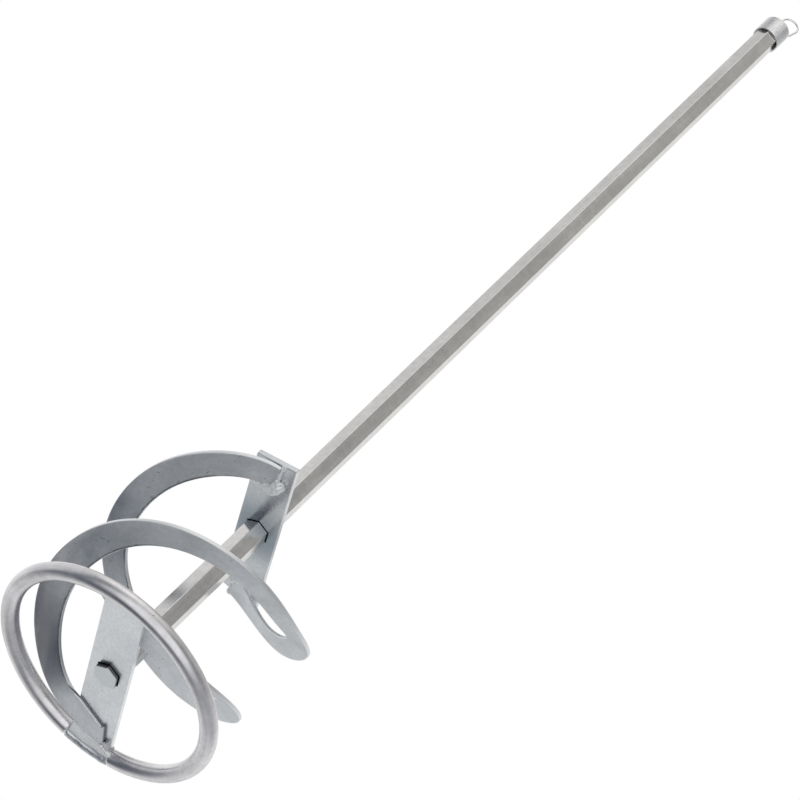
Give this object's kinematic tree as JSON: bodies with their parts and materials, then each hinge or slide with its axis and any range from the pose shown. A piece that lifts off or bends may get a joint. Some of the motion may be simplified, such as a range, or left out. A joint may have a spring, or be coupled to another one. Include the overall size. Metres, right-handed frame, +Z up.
{
  "type": "mortar mixing paddle",
  "caption": "Mortar mixing paddle: hexagonal drill shaft with two crossbars, two spiral ribbon blades, a protective base ring and a wire hanging clip.",
  "frame": {"origin": "on the shaft's axis at the lowest point of the base ring, which is where the paddle stands", "axes": "+Z up the shaft to the hanging clip, +X along the two crossbars towards the second blade's foot"},
  "size_m": [0.12, 0.12, 0.6032],
  "materials": {
    "shaft_steel": "drawn hexagon bar, zinc plated, satin with fine lengthwise draw marks",
    "bar_steel": "flat bar, zinc plated, smooth satin",
    "ring_steel": "round bar, zinc plated, smooth satin to bright",
    "blade_steel": "flat strip bent on edge, zinc plated, smooth satin with a blue cast",
    "weld_metal": "weld bead under zinc plating, lumpy and a little duller",
    "clip_wire": "bright drawn spring wire"
  },
  "bodies": {
    "paddle": {"hex_shaft": "shaft_steel", "lower_crossbar": "bar_steel", "upper_crossbar": "bar_steel", "base_ring": "ring_steel", "first_spiral_blade": "blade_steel", "second_spiral_blade": "blade_steel", "lower_collar_weld": "weld_metal", "upper_collar_weld": "weld_metal", "ring_joint_weld": "weld_metal", "bar_end_weld": "weld_metal", "first_blade_foot_weld": "weld_metal", "second_blade_foot_weld": "weld_metal", "first_blade_head_weld": "weld_metal", "second_blade_head_weld": "weld_metal"},
    "clip": {"hanging_clip": "clip_wire"}
  },
  "joints": [
    {"name": "clip_slide", "type": "slide", "parent": "paddle", "child": "clip", "axis": [0, 0, 1], "range_m": [0, 0.0125]}
  ]
}
